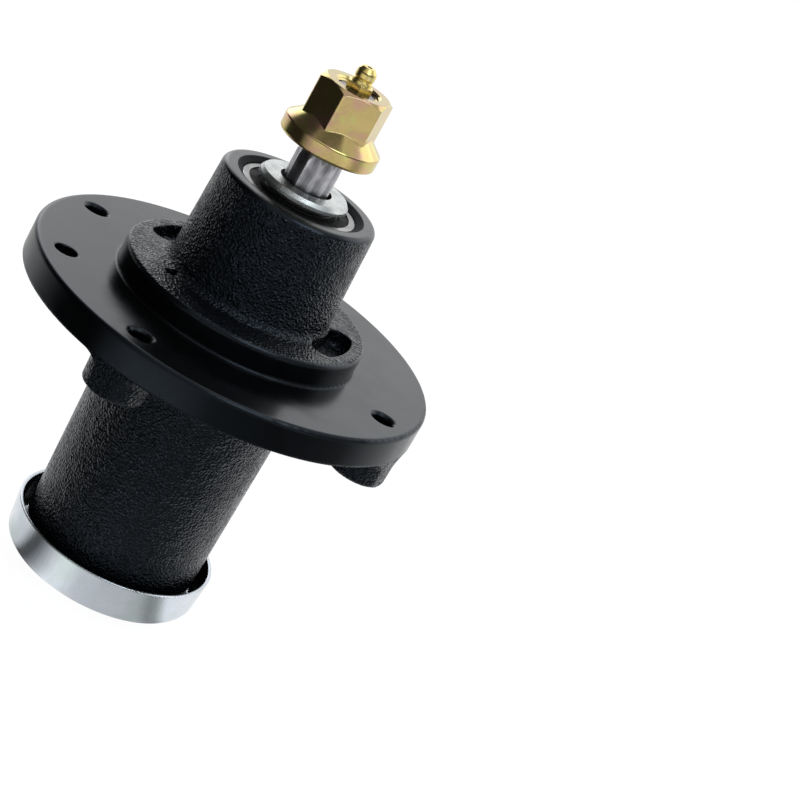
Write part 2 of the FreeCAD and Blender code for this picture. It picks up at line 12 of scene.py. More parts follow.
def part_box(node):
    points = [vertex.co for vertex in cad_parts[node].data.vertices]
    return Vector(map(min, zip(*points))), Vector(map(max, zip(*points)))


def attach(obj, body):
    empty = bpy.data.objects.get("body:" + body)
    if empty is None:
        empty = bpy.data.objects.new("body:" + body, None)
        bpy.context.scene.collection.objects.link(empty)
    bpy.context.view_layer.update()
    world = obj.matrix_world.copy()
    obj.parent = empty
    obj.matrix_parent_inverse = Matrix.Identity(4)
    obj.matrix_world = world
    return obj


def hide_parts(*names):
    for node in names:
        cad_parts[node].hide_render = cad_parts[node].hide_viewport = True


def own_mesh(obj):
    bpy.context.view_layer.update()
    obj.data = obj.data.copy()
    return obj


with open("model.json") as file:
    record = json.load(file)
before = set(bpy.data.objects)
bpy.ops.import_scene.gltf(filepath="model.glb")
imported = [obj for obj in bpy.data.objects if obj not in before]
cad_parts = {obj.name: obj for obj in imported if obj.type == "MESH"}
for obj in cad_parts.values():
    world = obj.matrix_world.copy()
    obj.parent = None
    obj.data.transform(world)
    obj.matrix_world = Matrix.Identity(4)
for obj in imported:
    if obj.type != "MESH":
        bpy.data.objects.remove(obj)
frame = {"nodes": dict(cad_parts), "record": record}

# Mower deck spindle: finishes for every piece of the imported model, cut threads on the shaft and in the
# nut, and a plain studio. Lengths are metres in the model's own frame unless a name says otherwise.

LOG = logging.getLogger("spindle")
MM = 0.001
WELD_DISTANCE = 0.0005 * MM
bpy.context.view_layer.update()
CAMERA_AZIMUTH_DEG = -24.0
MOUNTS = {mount["name"]: mount for mount in frame["record"]["mounts"]}
SLOTS = {row["node"]: row["material_slot"] for row in frame["record"]["subparts"]}

Socket = bpy.types.NodeSocket
Color = tuple[float, float, float]
Value = float | Socket
Span = tuple[float, float]
Levels = tuple[Span, ...]


class Side(Enum):
    """The two ends of the housing that hold a bearing."""

    UPPER = "upper"
    LOWER = "lower"


class Screw(Enum):
    """The two kinds of screw thread."""

    OUTSIDE = "outside"
    INSIDE = "inside"


class Graph:
    """Adds and wires the nodes of one shader tree."""

    def __init__(self, tree: bpy.types.NodeTree) -> None:
        """Starts from an empty tree."""
        self.tree = tree
        tree.nodes.clear()

    def feed(self, socket: Socket, value: object) -> None:
        """Links a socket to another one, or sets its plain value.

        Args:
            socket: The socket to feed.
            value: Another socket, or a plain value.
        """
        if isinstance(value, Socket):
            self.tree.links.new(value, socket)
        elif isinstance(value, tuple) and socket.type == "RGBA":
            socket.default_value = (*value, 1.0)
        else:
            socket.default_value = value

    def add(self, kind: str, inputs: dict | None = None, **settings: object) -> bpy.types.Node:
        """Adds one node.

        Args:
            kind: The node's type, without its ShaderNode prefix.
            inputs: Links or plain values by socket name or number.
            settings: Properties of the node.

        Returns:
            The new node.
        """
        node = self.tree.nodes.new("ShaderNode" + kind)
        for name, setting in settings.items():
            setattr(node, name, setting)
        for key, value in (inputs or {}).items():
            self.feed(node.inputs[key], value)
        return node

    def math(self, operation: str, *terms: Value) -> Socket:
        """Result of one arithmetic operation on sockets or numbers."""
        return self.add("Math", dict(enumerate(terms)), operation=operation).outputs[0]

    def mix(self, share: Value, low: object, high: object) -> Socket:
        """Colour between two others, blended by a share."""
        return self.add("Mix", {0: share, 6: low, 7: high}, data_type="RGBA").outputs[2]

    def lerp(self, share: Value, low: Value, high: Value) -> Socket:
        """Number between two others, by a share."""
        return self.add("Mix", {0: share, 2: low, 3: high}, data_type="FLOAT").outputs[0]

    def step(self, value: Value, start: Value, end: Value) -> Socket:
        """Smooth rise from 0 to 1 as a value goes from start to end."""
        node = self.add("MapRange", {0: value, 1: start, 2: end, 3: 0.0, 4: 1.0},
                        interpolation_type="SMOOTHSTEP")
        return node.outputs[0]

    def scaled(self, vector: Socket, factors: tuple[float, float, float]) -> Socket:
        """Vector with each of its parts multiplied by a factor."""
        return self.add("VectorMath", {0: vector, 1: factors}, operation="MULTIPLY").outputs[0]

    def noise(self, vector: Socket, scale: Value, detail: float = 2.0, roughness: float = 0.5) -> Socket:
        """Plain noise of about 1/scale metres from grain to grain."""
        node = self.add("TexNoise", {"Vector": vector, "Scale": scale, "Detail": detail,
                                     "Roughness": roughness})
        return node.outputs["Fac"]

    def cells(self, vector: Socket, scale: Value, smoothness: float) -> Socket:
        """Distance to the nearest of scattered points about 1/scale metres apart, softened."""
        node = self.add("TexVoronoi", {"Vector": vector, "Scale": scale, "Smoothness": smoothness},
                        feature="SMOOTH_F1")
        return node.outputs["Distance"]

    def normal(self) -> Socket:
        """Normal of the piece, in the model's frame."""
        return self.add("TexCoord").outputs["Normal"]

    def place(self) -> Socket:
        """Place on the piece, in metres in the model's frame."""
        return self.add("TexCoord").outputs["Object"]

    def bump(self, height: Socket, depth: Value, under: Socket | None = None) -> Socket:
        """Normal of a raised surface.

        Args:
            height: Height, as a share of the depth.
            depth: Depth in metres.
            under: Normal before the surface is raised, if it isn't the plain one.

        Returns:
            The new normal.
        """
        inputs = {"Strength": 1.0, "Distance": depth, "Height": height}
        if under is not None:
            inputs["Normal"] = under
        return self.add("Bump", inputs).outputs["Normal"]


class Effect:
    """One shader node group that several finishes share, built the first time it is asked for."""

    KINDS = {float: "NodeSocketFloat", tuple: "NodeSocketColor", Vector: "NodeSocketVector"}

    def __init__(self, name: str, inputs: dict[str, type], outputs: dict[str, type]) -> None:
        """Names the group and its sockets.

        Args:
            name: Name of the node group.
            inputs: Kind of each input by name.
            outputs: Kind of each output by name.
        """
        self.name = name
        self.inputs = inputs
        self.outputs = outputs

    def wire(self, graph: Graph, given: dict[str, Socket]) -> dict[str, Socket]:
        """Builds the inside of the group; each effect has its own."""
        raise NotImplementedError

    def tree(self) -> bpy.types.NodeTree:
        """The group's node tree.

        Returns:
            The tree, built on the first call and shared by all later ones.
        """
        found = bpy.data.node_groups.get(self.name)
        if found:
            return found
        tree = bpy.data.node_groups.new(self.name, "ShaderNodeTree")
        graph = Graph(tree)
        for way, sockets in (("INPUT", self.inputs), ("OUTPUT", self.outputs)):
            for name, kind in sockets.items():
                tree.interface.new_socket(name=name, in_out=way, socket_type=self.KINDS[kind])
        entry = tree.nodes.new("NodeGroupInput")
        leave = tree.nodes.new("NodeGroupOutput")
        made = self.wire(graph, {name: entry.outputs[name] for name in self.inputs})
        for name, socket in made.items():
            graph.feed(leave.inputs[name], socket)
        return tree

    def use(self, graph: Graph, **given: object) -> dict[str, Socket]:
        """Places the group in a material.

        Args:
            graph: The material's graph.
            given: Links or values for the group's inputs, by name.

        Returns:
            The group's outputs by name.
        """
        node = graph.tree.nodes.new("ShaderNodeGroup")
        node.node_tree = self.tree()
        for name, value in given.items():
            graph.feed(node.inputs[name], value)
        return {name: node.outputs[name] for name in self.outputs}


class ShaftPolar(Effect):
    """Radius, angle and height of a place about the shaft's axis."""

    def __init__(self) -> None:
        """Takes a place and gives its three polar parts."""
        super().__init__("shaft_polar", {"Place": Vector}, {"Radius": float, "Angle": float, "Height": float})

    def wire(self, graph: Graph, given: dict[str, Socket]) -> dict[str, Socket]:
        """Splits the place and turns its X and Y into a radius and an angle.

        Args:
            graph: The group's graph.
            given: The group's inputs by name.

        Returns:
            The group's outputs by name.
        """
        x, y, z = graph.add("SeparateXYZ", {0: given["Place"]}).outputs
        square = graph.math("MULTIPLY_ADD", x, x, graph.math("MULTIPLY", y, y))
        return {"Radius": graph.math("SQRT", square), "Angle": graph.math("ARCTAN2", y, x), "Height": z}


class CastGrain(Effect):
    """Lumpy skin of a sand mould: a height about zero and a mask of its hollows."""

    SOFTNESS = 0.55
    GRAIN_SHARE = 0.55
    GRIT_FINENESS = 1.15
    GRIT_SHARE = 0.75
    WAVE_FINENESS = 0.16
    WAVE_SHARE = 0.9
    MEAN = 1.1
    HOLLOW: Span = (0.12, -0.25)

    def __init__(self) -> None:
        """Takes a place and a grain size."""
        super().__init__("cast_grain", {"Place": Vector, "Grain": float}, {"Height": float, "Hollows": float})

    def wire(self, graph: Graph, given: dict[str, Socket]) -> dict[str, Socket]:
        """Rounded grains, a finer grit on them and slow waves under them.

        Args:
            graph: The group's graph.
            given: The group's inputs by name.

        Returns:
            The group's outputs by name.
        """
        place = given["Place"]
        per_metre = graph.math("DIVIDE", 1.0, given["Grain"])
        grains = graph.math("SUBTRACT", 1.0, graph.cells(place, per_metre, self.SOFTNESS))
        grit = graph.noise(place, graph.math("MULTIPLY", per_metre, self.GRIT_FINENESS), detail=0.0)
        waves = graph.noise(place, graph.math("MULTIPLY", per_metre, self.WAVE_FINENESS))
        height = graph.math("MULTIPLY", grains, self.GRAIN_SHARE)
        height = graph.math("MULTIPLY_ADD", grit, self.GRIT_SHARE, height)
        height = graph.math("MULTIPLY_ADD", waves, self.WAVE_SHARE, height)
        height = graph.math("SUBTRACT", height, self.MEAN)
        return {"Height": height, "Hollows": graph.step(height, *self.HOLLOW)}


class TurningLines(Effect):
    """Fine rings that a lathe leaves round the shaft's axis."""

    ANGLE_SHARE = 0.0002
    LINE: Span = (0.4, 0.7)

    def __init__(self) -> None:
        """Takes a place and the spacing of the rings."""
        super().__init__("turning_lines", {"Place": Vector, "Spacing": float},
                         {"Height": float, "Lines": float})

    def wire(self, graph: Graph, given: dict[str, Socket]) -> dict[str, Socket]:
        """Noise that changes with radius and height but hardly with angle.

        Args:
            graph: The group's graph.
            given: The group's inputs by name.

        Returns:
            The group's outputs by name.
        """
        polar = SHAFT_POLAR.use(graph, Place=given["Place"])
        slow = graph.math("MULTIPLY", polar["Angle"], self.ANGLE_SHARE)
        line = graph.add("CombineXYZ", {0: polar["Radius"], 1: polar["Height"], 2: slow}).outputs[0]
        per_metre = graph.math("DIVIDE", 1.0, given["Spacing"])
        height = graph.noise(line, per_metre, detail=3.0, roughness=0.65)
        return {"Height": height, "Lines": graph.step(height, *self.LINE)}


class Smudges(Effect):
    """Uneven handling: cloudy patches, and small specks."""

    PATCH: Span = (0.36, 0.66)
    SPECK: Span = (0.66, 0.76)

    def __init__(self) -> None:
        """Takes a place, the size of a patch and the size of a speck."""
        super().__init__("handling_smudges", {"Place": Vector, "Patch": float, "Speck": float},
                         {"Patches": float, "Specks": float})

    def wire(self, graph: Graph, given: dict[str, Socket]) -> dict[str, Socket]:
        """Two noises, the finer one cut to rare spots.

        Args:
            graph: The group's graph.
            given: The group's inputs by name.

        Returns:
            The group's outputs by name.
        """
        clouds = graph.noise(given["Place"], graph.math("DIVIDE", 1.0, given["Patch"]),
                             detail=4.0, roughness=0.6)
        spots = graph.noise(given["Place"], graph.math("DIVIDE", 1.0, given["Speck"]), detail=1.0)
        return {"Patches": graph.step(clouds, *self.PATCH), "Specks": graph.step(spots, *self.SPECK)}


class PlatingTint(Effect):
    """Colours of a thin chromate film: a base that drifts towards two tints."""

    APART = (0.31, 0.17, 0.23)
    OTHER_FINENESS = 1.4
    TINT: Span = (0.48, 0.68)
    OTHER_TINT: Span = (0.5, 0.7)

    def __init__(self) -> None:
        """Takes a place, a base colour and two tints."""
        super().__init__("plating_tint",
                         {"Place": Vector, "Drift": float, "Base": tuple, "Tint": tuple, "Other Tint": tuple},
                         {"Color": tuple})

    def wire(self, graph: Graph, given: dict[str, Socket]) -> dict[str, Socket]:
        """Two slow noises, each laying one tint over the base.

        Args:
            graph: The group's graph.
            given: The group's inputs by name.

        Returns:
            The group's outputs by name.
        """
        per_metre = graph.math("DIVIDE", 1.0, given["Drift"])
        first = graph.noise(given["Place"], per_metre)
        moved = graph.add("VectorMath", {0: given["Place"], 1: self.APART}, operation="ADD").outputs[0]
        second = graph.noise(moved, graph.math("MULTIPLY", per_metre, self.OTHER_FINENESS))
        tinted = graph.mix(graph.step(first, *self.TINT), given["Base"], given["Tint"])
        return {"Color": graph.mix(graph.step(second, *self.OTHER_TINT), tinted, given["Other Tint"])}


class EdgeWearAndHighlight(Effect):
    """Outer edges: a mask for worn finish and a painted highlight there, and a normal rounded over them."""

    SAMPLES = 4
    RAGGED_SCALE = 900.0
    RAGGED: Span = (0.3, 0.6)
    TURN: Span = (0.02, 0.16)

    def __init__(self) -> None:
        """Takes the width of an edge and a place for its raggedness."""
        super().__init__("edge_wear_and_highlight", {"Place": Vector, "Width": float}, {"Edges": float, "Normal": Vector})

    def wire(self, graph: Graph, given: dict[str, Socket]) -> dict[str, Socket]:
        """Compares the normal with one that is rounded over the edges.

        Args:
            graph: The group's graph.
            given: The group's inputs by name.

        Returns:
            The group's outputs by name.
        """
        rounded = graph.add("Bevel", {"Radius": given["Width"]}, samples=self.SAMPLES).outputs[0]
        plain = graph.add("NewGeometry").outputs["Normal"]
        along = graph.add("VectorMath", {0: rounded, 1: plain}, operation="DOT_PRODUCT").outputs["Value"]
        ragged = graph.noise(given["Place"], self.RAGGED_SCALE, detail=3.0)
        turn = graph.math("SUBTRACT", 1.0, along)
        edges = graph.math("MULTIPLY", graph.step(turn, *self.TURN), graph.step(ragged, *self.RAGGED))
        return {"Edges": edges, "Normal": rounded}


class PaintedInnerTopShade(Effect):
    """Masks of the faces that get painted shade: those that look towards the axis, and level tops."""

    INNER: Span = (-0.8, -0.95)
    TOP: Span = (0.75, 0.95)

    def __init__(self) -> None:
        """Takes a place and the normal there."""
        super().__init__("painted_inner_top_shade", {"Place": Vector, "Normal": Vector},
                         {"Inner": float, "Tops": float})

    def wire(self, graph: Graph, given: dict[str, Socket]) -> dict[str, Socket]:
        """Compares the normal with the way out from the axis and with the way up.

        Args:
            graph: The group's graph.
            given: The group's inputs by name.

        Returns:
            The group's outputs by name.
        """
        level = graph.scaled(given["Place"], (1.0, 1.0, 0.0))
        outward = graph.add("VectorMath", {0: level}, operation="NORMALIZE").outputs[0]
        facing = graph.add("VectorMath", {0: outward, 1: given["Normal"]}, operation="DOT_PRODUCT")
        inner = graph.step(facing.outputs["Value"], *self.INNER)
        rise = graph.add("SeparateXYZ", {0: given["Normal"]}).outputs[2]
        return {"Inner": inner, "Tops": graph.step(rise, *self.TOP)}


SHAFT_POLAR = ShaftPolar()
CAST_GRAIN = CastGrain()
TURNING_LINES = TurningLines()
SMUDGES = Smudges()
PLATING_TINT = PlatingTint()
EDGE_WEAR_AND_HIGHLIGHT = EdgeWearAndHighlight()
PAINTED_INNER_TOP_SHADE = PaintedInnerTopShade()


@dataclass(frozen=True)
class Finish:
    """What every finish has: the record's slot that it dresses."""

    slot: str

    def dress(self, graph: Graph, shader: bpy.types.Node) -> None:
        """Wires the finish into its shader; each finish has its own."""
        raise NotImplementedError

    def material(self) -> bpy.types.Material:
        """The finish as a material.

        Returns:
            The material, built on the first call and shared by all later ones.
        """
        name = self.slot + "_finish"
        if name in bpy.data.materials:
            return bpy.data.materials[name]
        material = bpy.data.materials.new(name)
        material.use_nodes = True
        graph = Graph(material.node_tree)
        shader = graph.add("BsdfPrincipled")
        graph.feed(graph.add("OutputMaterial").inputs["Surface"], shader.outputs[0])
        self.dress(graph, shader)
        return material


@dataclass(frozen=True)
class CastPaint(Finish):
    """Black paint on the casting, smooth where turned, grainy as cast, with painted shade in the hollows."""

    flange_r: float
    deck_z: float
    pilot_r: float
    hub_top_z: float
    mouth_r: float
    turned_color: Color = (0.0014, 0.0015, 0.0017)
    cast_color: Color = (0.0024, 0.0030, 0.0046)
    painted_hollow_shade: Color = (0.0006, 0.0006, 0.0008)
    ior: float = 1.45
    gloss_tint: Color = (0.66, 0.82, 1.0)
    grain: float = 0.87 * MM
    grain_depth: float = 0.58 * MM
    line_spacing: float = 0.35 * MM
    line_depth: float = 0.004 * MM
    patch: float = 14 * MM
    speck: float = 0.7 * MM
    edge_blend: float = 0.5 * MM
    edge_height: float = 3.0 * MM
    edge_round: float = 1.1 * MM
    rim_height: float = 9.5 * MM
    turned_roughness: Span = (0.18, 0.25)
    cast_roughness: Span = (0.10, 0.16)
    hollow_roughness: float = 0.45
    mouth_roughness: float = 0.8

    def turned_mask(self, graph: Graph, place: Socket) -> Socket:
        """Mask of the turned faces.

        Args:
            graph: The material's graph.
            place: Place on the casting.

        Returns:
            A value of 1 on the deck face, the rim, the pilot's side and the hub's mouth.
        """
        polar = SHAFT_POLAR.use(graph, Place=place)
        radius, height = polar["Radius"], polar["Height"]
        soft = self.edge_blend
        edge_z = self.deck_z - self.edge_height
        deck_face = graph.math("MULTIPLY", graph.step(height, edge_z - soft, edge_z),
                               graph.step(radius, self.pilot_r - 2 * soft, self.pilot_r - soft))
        rim_z = self.deck_z - self.rim_height
        rim = graph.math("MULTIPLY", graph.step(radius, self.flange_r - soft, self.flange_r - 0.2 * soft),
                         graph.step(height, rim_z - soft, rim_z))
        mouth = graph.step(height, self.hub_top_z - 3 * soft, self.hub_top_z - 2 * soft)
        return graph.math("MAXIMUM", graph.math("MAXIMUM", deck_face, rim), mouth)

    def dress(self, graph: Graph, shader: bpy.types.Node) -> None:
        """Mixes the two skins by the mask of turned faces.

        Args:
            graph: The material's graph.
            shader: The material's shader.
        """
        place = graph.place()
        turned = self.turned_mask(graph, place)
        grain = CAST_GRAIN.use(graph, Place=place, Grain=self.grain)
        lines = TURNING_LINES.use(graph, Place=place, Spacing=self.line_spacing)
        smudge = SMUDGES.use(graph, Place=place, Patch=self.patch, Speck=self.speck)
        # The grain's hollows are coloured darker: painted shade for the shadow that the bump doesn't cast.
        cast = graph.mix(grain["Hollows"], self.cast_color, self.painted_hollow_shade)
        color = graph.mix(turned, cast, self.turned_color)
        graph.feed(shader.inputs["Base Color"], color)
        smooth = graph.lerp(smudge["Patches"], *self.turned_roughness)
        rough = graph.lerp(smudge["Patches"], *self.cast_roughness)
        rough = graph.lerp(grain["Hollows"], rough, self.hollow_roughness)
        radius = SHAFT_POLAR.use(graph, Place=place)["Radius"]
        mouth = graph.step(radius, self.mouth_r + self.edge_blend, self.mouth_r)
        graph.feed(shader.inputs["Roughness"],
                   graph.lerp(mouth, graph.lerp(turned, rough, smooth), self.mouth_roughness))
        shader.inputs["IOR"].default_value = self.ior
        # The bluish gloss tint is painted: it stands in for bluish light in the paint's reflections.
        graph.feed(shader.inputs["Specular Tint"], self.gloss_tint)
        rounded = EDGE_WEAR_AND_HIGHLIGHT.use(graph, Place=place, Width=self.edge_round)["Normal"]
        fine = graph.bump(lines["Height"], self.line_depth, rounded)
        skin = graph.math("MULTIPLY", grain["Height"], graph.math("SUBTRACT", 1.0, turned))
        graph.feed(shader.inputs["Normal"], graph.bump(skin, self.grain_depth, fine))


@dataclass(frozen=True)
class TurnedSteel(Finish):
    """Bare steel with fine lathe or grinding rings and a film of oil."""

    color: Color
    dark: Color
    roughness: float
    spacing: float
    ring_depth: float
    line_share: float = 0.45
    patch_share: float = 0.25
    patch_roughness: float = 0.12
    patch: float = 6 * MM
    speck: float = 0.4 * MM

    def dress(self, graph: Graph, shader: bpy.types.Node) -> None:
        """Rings in colour and bump, patches in roughness.

        Args:
            graph: The material's graph.
            shader: The material's shader.
        """
        place = graph.place()
        lines = TURNING_LINES.use(graph, Place=place, Spacing=self.spacing)
        smudge = SMUDGES.use(graph, Place=place, Patch=self.patch, Speck=self.speck)
        color = graph.mix(graph.math("MULTIPLY", lines["Lines"], self.line_share), self.color, self.dark)
        color = graph.mix(graph.math("MULTIPLY", smudge["Patches"], self.patch_share), color, self.dark)
        graph.feed(shader.inputs["Base Color"], color)
        shader.inputs["Metallic"].default_value = 1.0
        graph.feed(shader.inputs["Roughness"],
                   graph.lerp(smudge["Patches"], self.roughness, self.roughness + self.patch_roughness))
        graph.feed(shader.inputs["Normal"], graph.bump(lines["Height"], self.ring_depth))


@dataclass(frozen=True)
class Rubber(Finish):
    """Black moulded rubber with a fine bloom."""

    color: Color = (0.005, 0.0052, 0.0055)
    bloom: Color = (0.014, 0.0145, 0.015)
    ior: float = 1.3
    roughness: Span = (0.55, 0.75)
    grain: float = 0.3 * MM
    grain_depth: float = 0.012 * MM
    ring_spacing: float = 0.5 * MM
    ring_depth: float = 0.02 * MM
    patch: float = 5 * MM
    speck: float = 0.5 * MM

    def dress(self, graph: Graph, shader: bpy.types.Node) -> None:
        """Fine grain, mould rings and cloudy bloom.

        Args:
            graph: The material's graph.
            shader: The material's shader.
        """
        place = graph.place()
        grain = CAST_GRAIN.use(graph, Place=place, Grain=self.grain)
        lines = TURNING_LINES.use(graph, Place=place, Spacing=self.ring_spacing)
        smudge = SMUDGES.use(graph, Place=place, Patch=self.patch, Speck=self.speck)
        graph.feed(shader.inputs["Base Color"], graph.mix(smudge["Patches"], self.color, self.bloom))
        graph.feed(shader.inputs["Roughness"], graph.lerp(smudge["Patches"], *self.roughness))
        shader.inputs["IOR"].default_value = self.ior
        under = graph.bump(lines["Height"], self.ring_depth)
        graph.feed(shader.inputs["Normal"], graph.bump(grain["Height"], self.grain_depth, under))


@dataclass(frozen=True)
class SplineSteel(Finish):
    """Cold-drawn shaft steel with lengthwise marks, specks and shaded spline grooves."""

    color: Color = (0.74, 0.74, 0.77)
    dark: Color = (0.34, 0.34, 0.37)
    roughness: Span = (0.27, 0.43)
    streak_scale: float = 2600.0
    streak_stretch: float = 0.06
    streak: Span = (0.38, 0.68)
    streak_share: float = 0.7
    streak_depth: float = 0.02 * MM
    patch: float = 4 * MM
    speck: float = 0.35 * MM
    speck_share: float = 0.5
    groove: Color = (0.17, 0.17, 0.19)
    groove_r: float = 7.3 * MM
    tip_r: float = 7.9 * MM
    groove_z: float = 156.0 * MM
    groove_share: float = 0.65

    def dress(self, graph: Graph, shader: bpy.types.Node) -> None:
        """Streaks drawn along the shaft, and shade in the grooves of its spline.

        Args:
            graph: The material's graph.
            shader: The material's shader.
        """
        place = graph.place()
        drawn = graph.scaled(place, (1.0, 1.0, self.streak_stretch))
        streak = graph.noise(drawn, self.streak_scale, detail=4.0, roughness=0.6)
        smudge = SMUDGES.use(graph, Place=place, Patch=self.patch, Speck=self.speck)
        share = graph.math("MULTIPLY", graph.step(streak, *self.streak), self.streak_share)
        color = graph.mix(share, self.color, self.dark)
        color = graph.mix(graph.math("MULTIPLY", smudge["Specks"], self.speck_share), color, self.dark)
        polar = SHAFT_POLAR.use(graph, Place=place)
        low = graph.math("MULTIPLY", graph.step(polar["Radius"], self.tip_r, self.groove_r),
                         graph.step(polar["Height"], self.groove_z - MM, self.groove_z))
        color = graph.mix(graph.math("MULTIPLY", low, self.groove_share), color, self.groove)
        graph.feed(shader.inputs["Base Color"], color)
        shader.inputs["Metallic"].default_value = 1.0
        graph.feed(shader.inputs["Roughness"], graph.lerp(smudge["Patches"], *self.roughness))
        graph.feed(shader.inputs["Normal"], graph.bump(streak, self.streak_depth))


@dataclass(frozen=True)
class Plating(Finish):
    """Plated steel: a film whose colour drifts, fine pits, draw marks, worn edges with a painted highlight,
    and painted shade on inner faces and level tops.
    """

    color: Color
    tint: Color
    other_tint: Color
    edge: Color
    pit_and_top_shade: Color
    drift: float
    roughness: float
    rough_patch: float
    streak_depth: float
    grain_depth: float
    # Colour of the painted shade on faces that look towards the axis.
    inner: Color = (0.06, 0.06, 0.055)
    grain_scale: float = 1500.0
    top_shade: float = 0.0
    edge_width: float = 0.35 * MM
    edge_share: float = 0.7
    speck: float = 0.45 * MM
    speck_share: float = 0.45
    streak_scale: float = 1100.0
    streak_stretch: float = 0.08

    def dress(self, graph: Graph, shader: bpy.types.Node) -> None:
        """Film colours, then pits, a painted edge highlight and painted shade over them.

        Args:
            graph: The material's graph.
            shader: The material's shader.
        """
        place = graph.place()
        film = PLATING_TINT.use(graph, Place=place, Drift=self.drift, Base=self.color, Tint=self.tint,
                                **{"Other Tint": self.other_tint})
        smudge = SMUDGES.use(graph, Place=place, Patch=self.drift, Speck=self.speck)
        edges = EDGE_WEAR_AND_HIGHLIGHT.use(graph, Place=place, Width=self.edge_width)
        pits = graph.math("MULTIPLY", smudge["Specks"], self.speck_share)
        color = graph.mix(pits, film["Color"], self.pit_and_top_shade)
        # Outer edges are lighter: partly plating worn thin, partly a painted highlight.
        color = graph.mix(graph.math("MULTIPLY", edges["Edges"], self.edge_share), color, self.edge)
        # Painted shade: level tops go towards the pit colour, and faces towards the axis go dark.
        shade_masks = PAINTED_INNER_TOP_SHADE.use(graph, Place=place, Normal=graph.normal())
        color = graph.mix(graph.math("MULTIPLY", shade_masks["Tops"], self.top_shade), color, self.pit_and_top_shade)
        graph.feed(shader.inputs["Base Color"], graph.mix(shade_masks["Inner"], color, self.inner))
        shader.inputs["Metallic"].default_value = 1.0
        graph.feed(shader.inputs["Roughness"],
                   graph.lerp(smudge["Patches"], self.roughness, self.roughness + self.rough_patch))
        drawn = graph.scaled(place, (1.0, 1.0, self.streak_stretch))
        streak = graph.noise(drawn, self.streak_scale, detail=3.0, roughness=0.55)
        grain = graph.noise(place, self.grain_scale, detail=3.0, roughness=0.6)
        under = graph.bump(streak, self.streak_depth, edges["Normal"])
        graph.feed(shader.inputs["Normal"], graph.bump(grain, self.grain_depth, under))


@dataclass(frozen=True)
class CagePlastic(Finish):
    """Cream moulded nylon."""

    color: Color = (0.62, 0.55, 0.40)
    dark: Color = (0.48, 0.40, 0.26)
    roughness: Span = (0.38, 0.5)
    grain: float = 0.35 * MM
    grain_depth: float = 0.008 * MM
    patch: float = 4 * MM
    speck: float = 0.4 * MM

    def dress(self, graph: Graph, shader: bpy.types.Node) -> None:
        """Cloudy cream with a fine moulded grain.

        Args:
            graph: The material's graph.
            shader: The material's shader.
        """
        place = graph.place()
        grain = CAST_GRAIN.use(graph, Place=place, Grain=self.grain)
        smudge = SMUDGES.use(graph, Place=place, Patch=self.patch, Speck=self.speck)
        graph.feed(shader.inputs["Base Color"], graph.mix(smudge["Patches"], self.color, self.dark))
        graph.feed(shader.inputs["Roughness"], graph.lerp(smudge["Patches"], *self.roughness))
        graph.feed(shader.inputs["Normal"], graph.bump(grain["Height"], self.grain_depth))


def smooth_by_angle(mesh: bpy.types.Mesh, limit_deg: float = 32.0) -> None:
    """Shades a mesh smooth except over edges sharper than a limit.

    Args:
        mesh: The mesh to shade.
        limit_deg: Angle between two faces, in degrees, from which their edge stays sharp.
    """
    shape = bmesh.new()
    shape.from_mesh(mesh)
    for edge in shape.edges:
        edge.smooth = len(edge.link_faces) == 2 and edge.calc_face_angle(0.0) < math.radians(limit_deg)
    for face in shape.faces:
        face.smooth = True
    shape.to_mesh(mesh)
    shape.free()


@dataclass
class Thread:
    """One cut screw thread about the shaft's axis."""

    kind: Screw
    crest_r: float
    root_r: float
    pitch: float
    foot_z: float
    top_z: float
    steps_per_turn: int = 48
    crest_share: float = 0.14
    flank_share: float = 0.49
    margin: float = 0.25 * MM

    def cutter(self, name: str) -> bpy.types.Mesh:
        """Closed mesh that cuts the thread's groove.

        Args:
            name: Name of the mesh.

        Returns:
            The mesh, in metres, which reaches past the crest by the margin.
        """
        past = self.margin if self.kind is Screw.OUTSIDE else -self.margin
        return self.ridge(name, self.crest_r + past, self.root_r)

    def ridge(self, name: str, base_r: float, tip_r: float) -> bpy.types.Mesh:
        """Closed helical ridge or cutter of a blunt V section.

        Args:
            name: Name of the mesh.
            base_r: Radius of the wide side of the section.
            tip_r: Radius of the blunt side.

        Returns:
            The mesh, in metres.
        """
        wide, blunt = self.pitch * self.flank_share, self.pitch * self.crest_share / 2
        section = [(base_r, -wide), (base_r, wide), (tip_r, blunt), (tip_r, -blunt)]
        if base_r > tip_r:
            section.reverse()
        turns = (self.top_z - self.foot_z) / self.pitch
        count = round(turns * self.steps_per_turn)
        shape = bmesh.new()
        rings = []
        for k in range(count + 1):
            angle = 2 * math.pi * k / self.steps_per_turn
            rise = self.foot_z + self.pitch * k / self.steps_per_turn
            rings.append([shape.verts.new((r * math.cos(angle), r * math.sin(angle), rise + dz))
                          for r, dz in section])
        for before, after in zip(rings, rings[1:]):
            for side in range(4):
                ahead = (side + 1) % 4
                shape.faces.new((before[side], before[ahead], after[ahead], after[side]))
        shape.faces.new(reversed(rings[0]))
        shape.faces.new(rings[-1])
        bmesh.ops.recalc_face_normals(shape, faces=shape.faces)
        mesh = bpy.data.meshes.new(name)
        shape.to_mesh(mesh)
        shape.free()
        return mesh


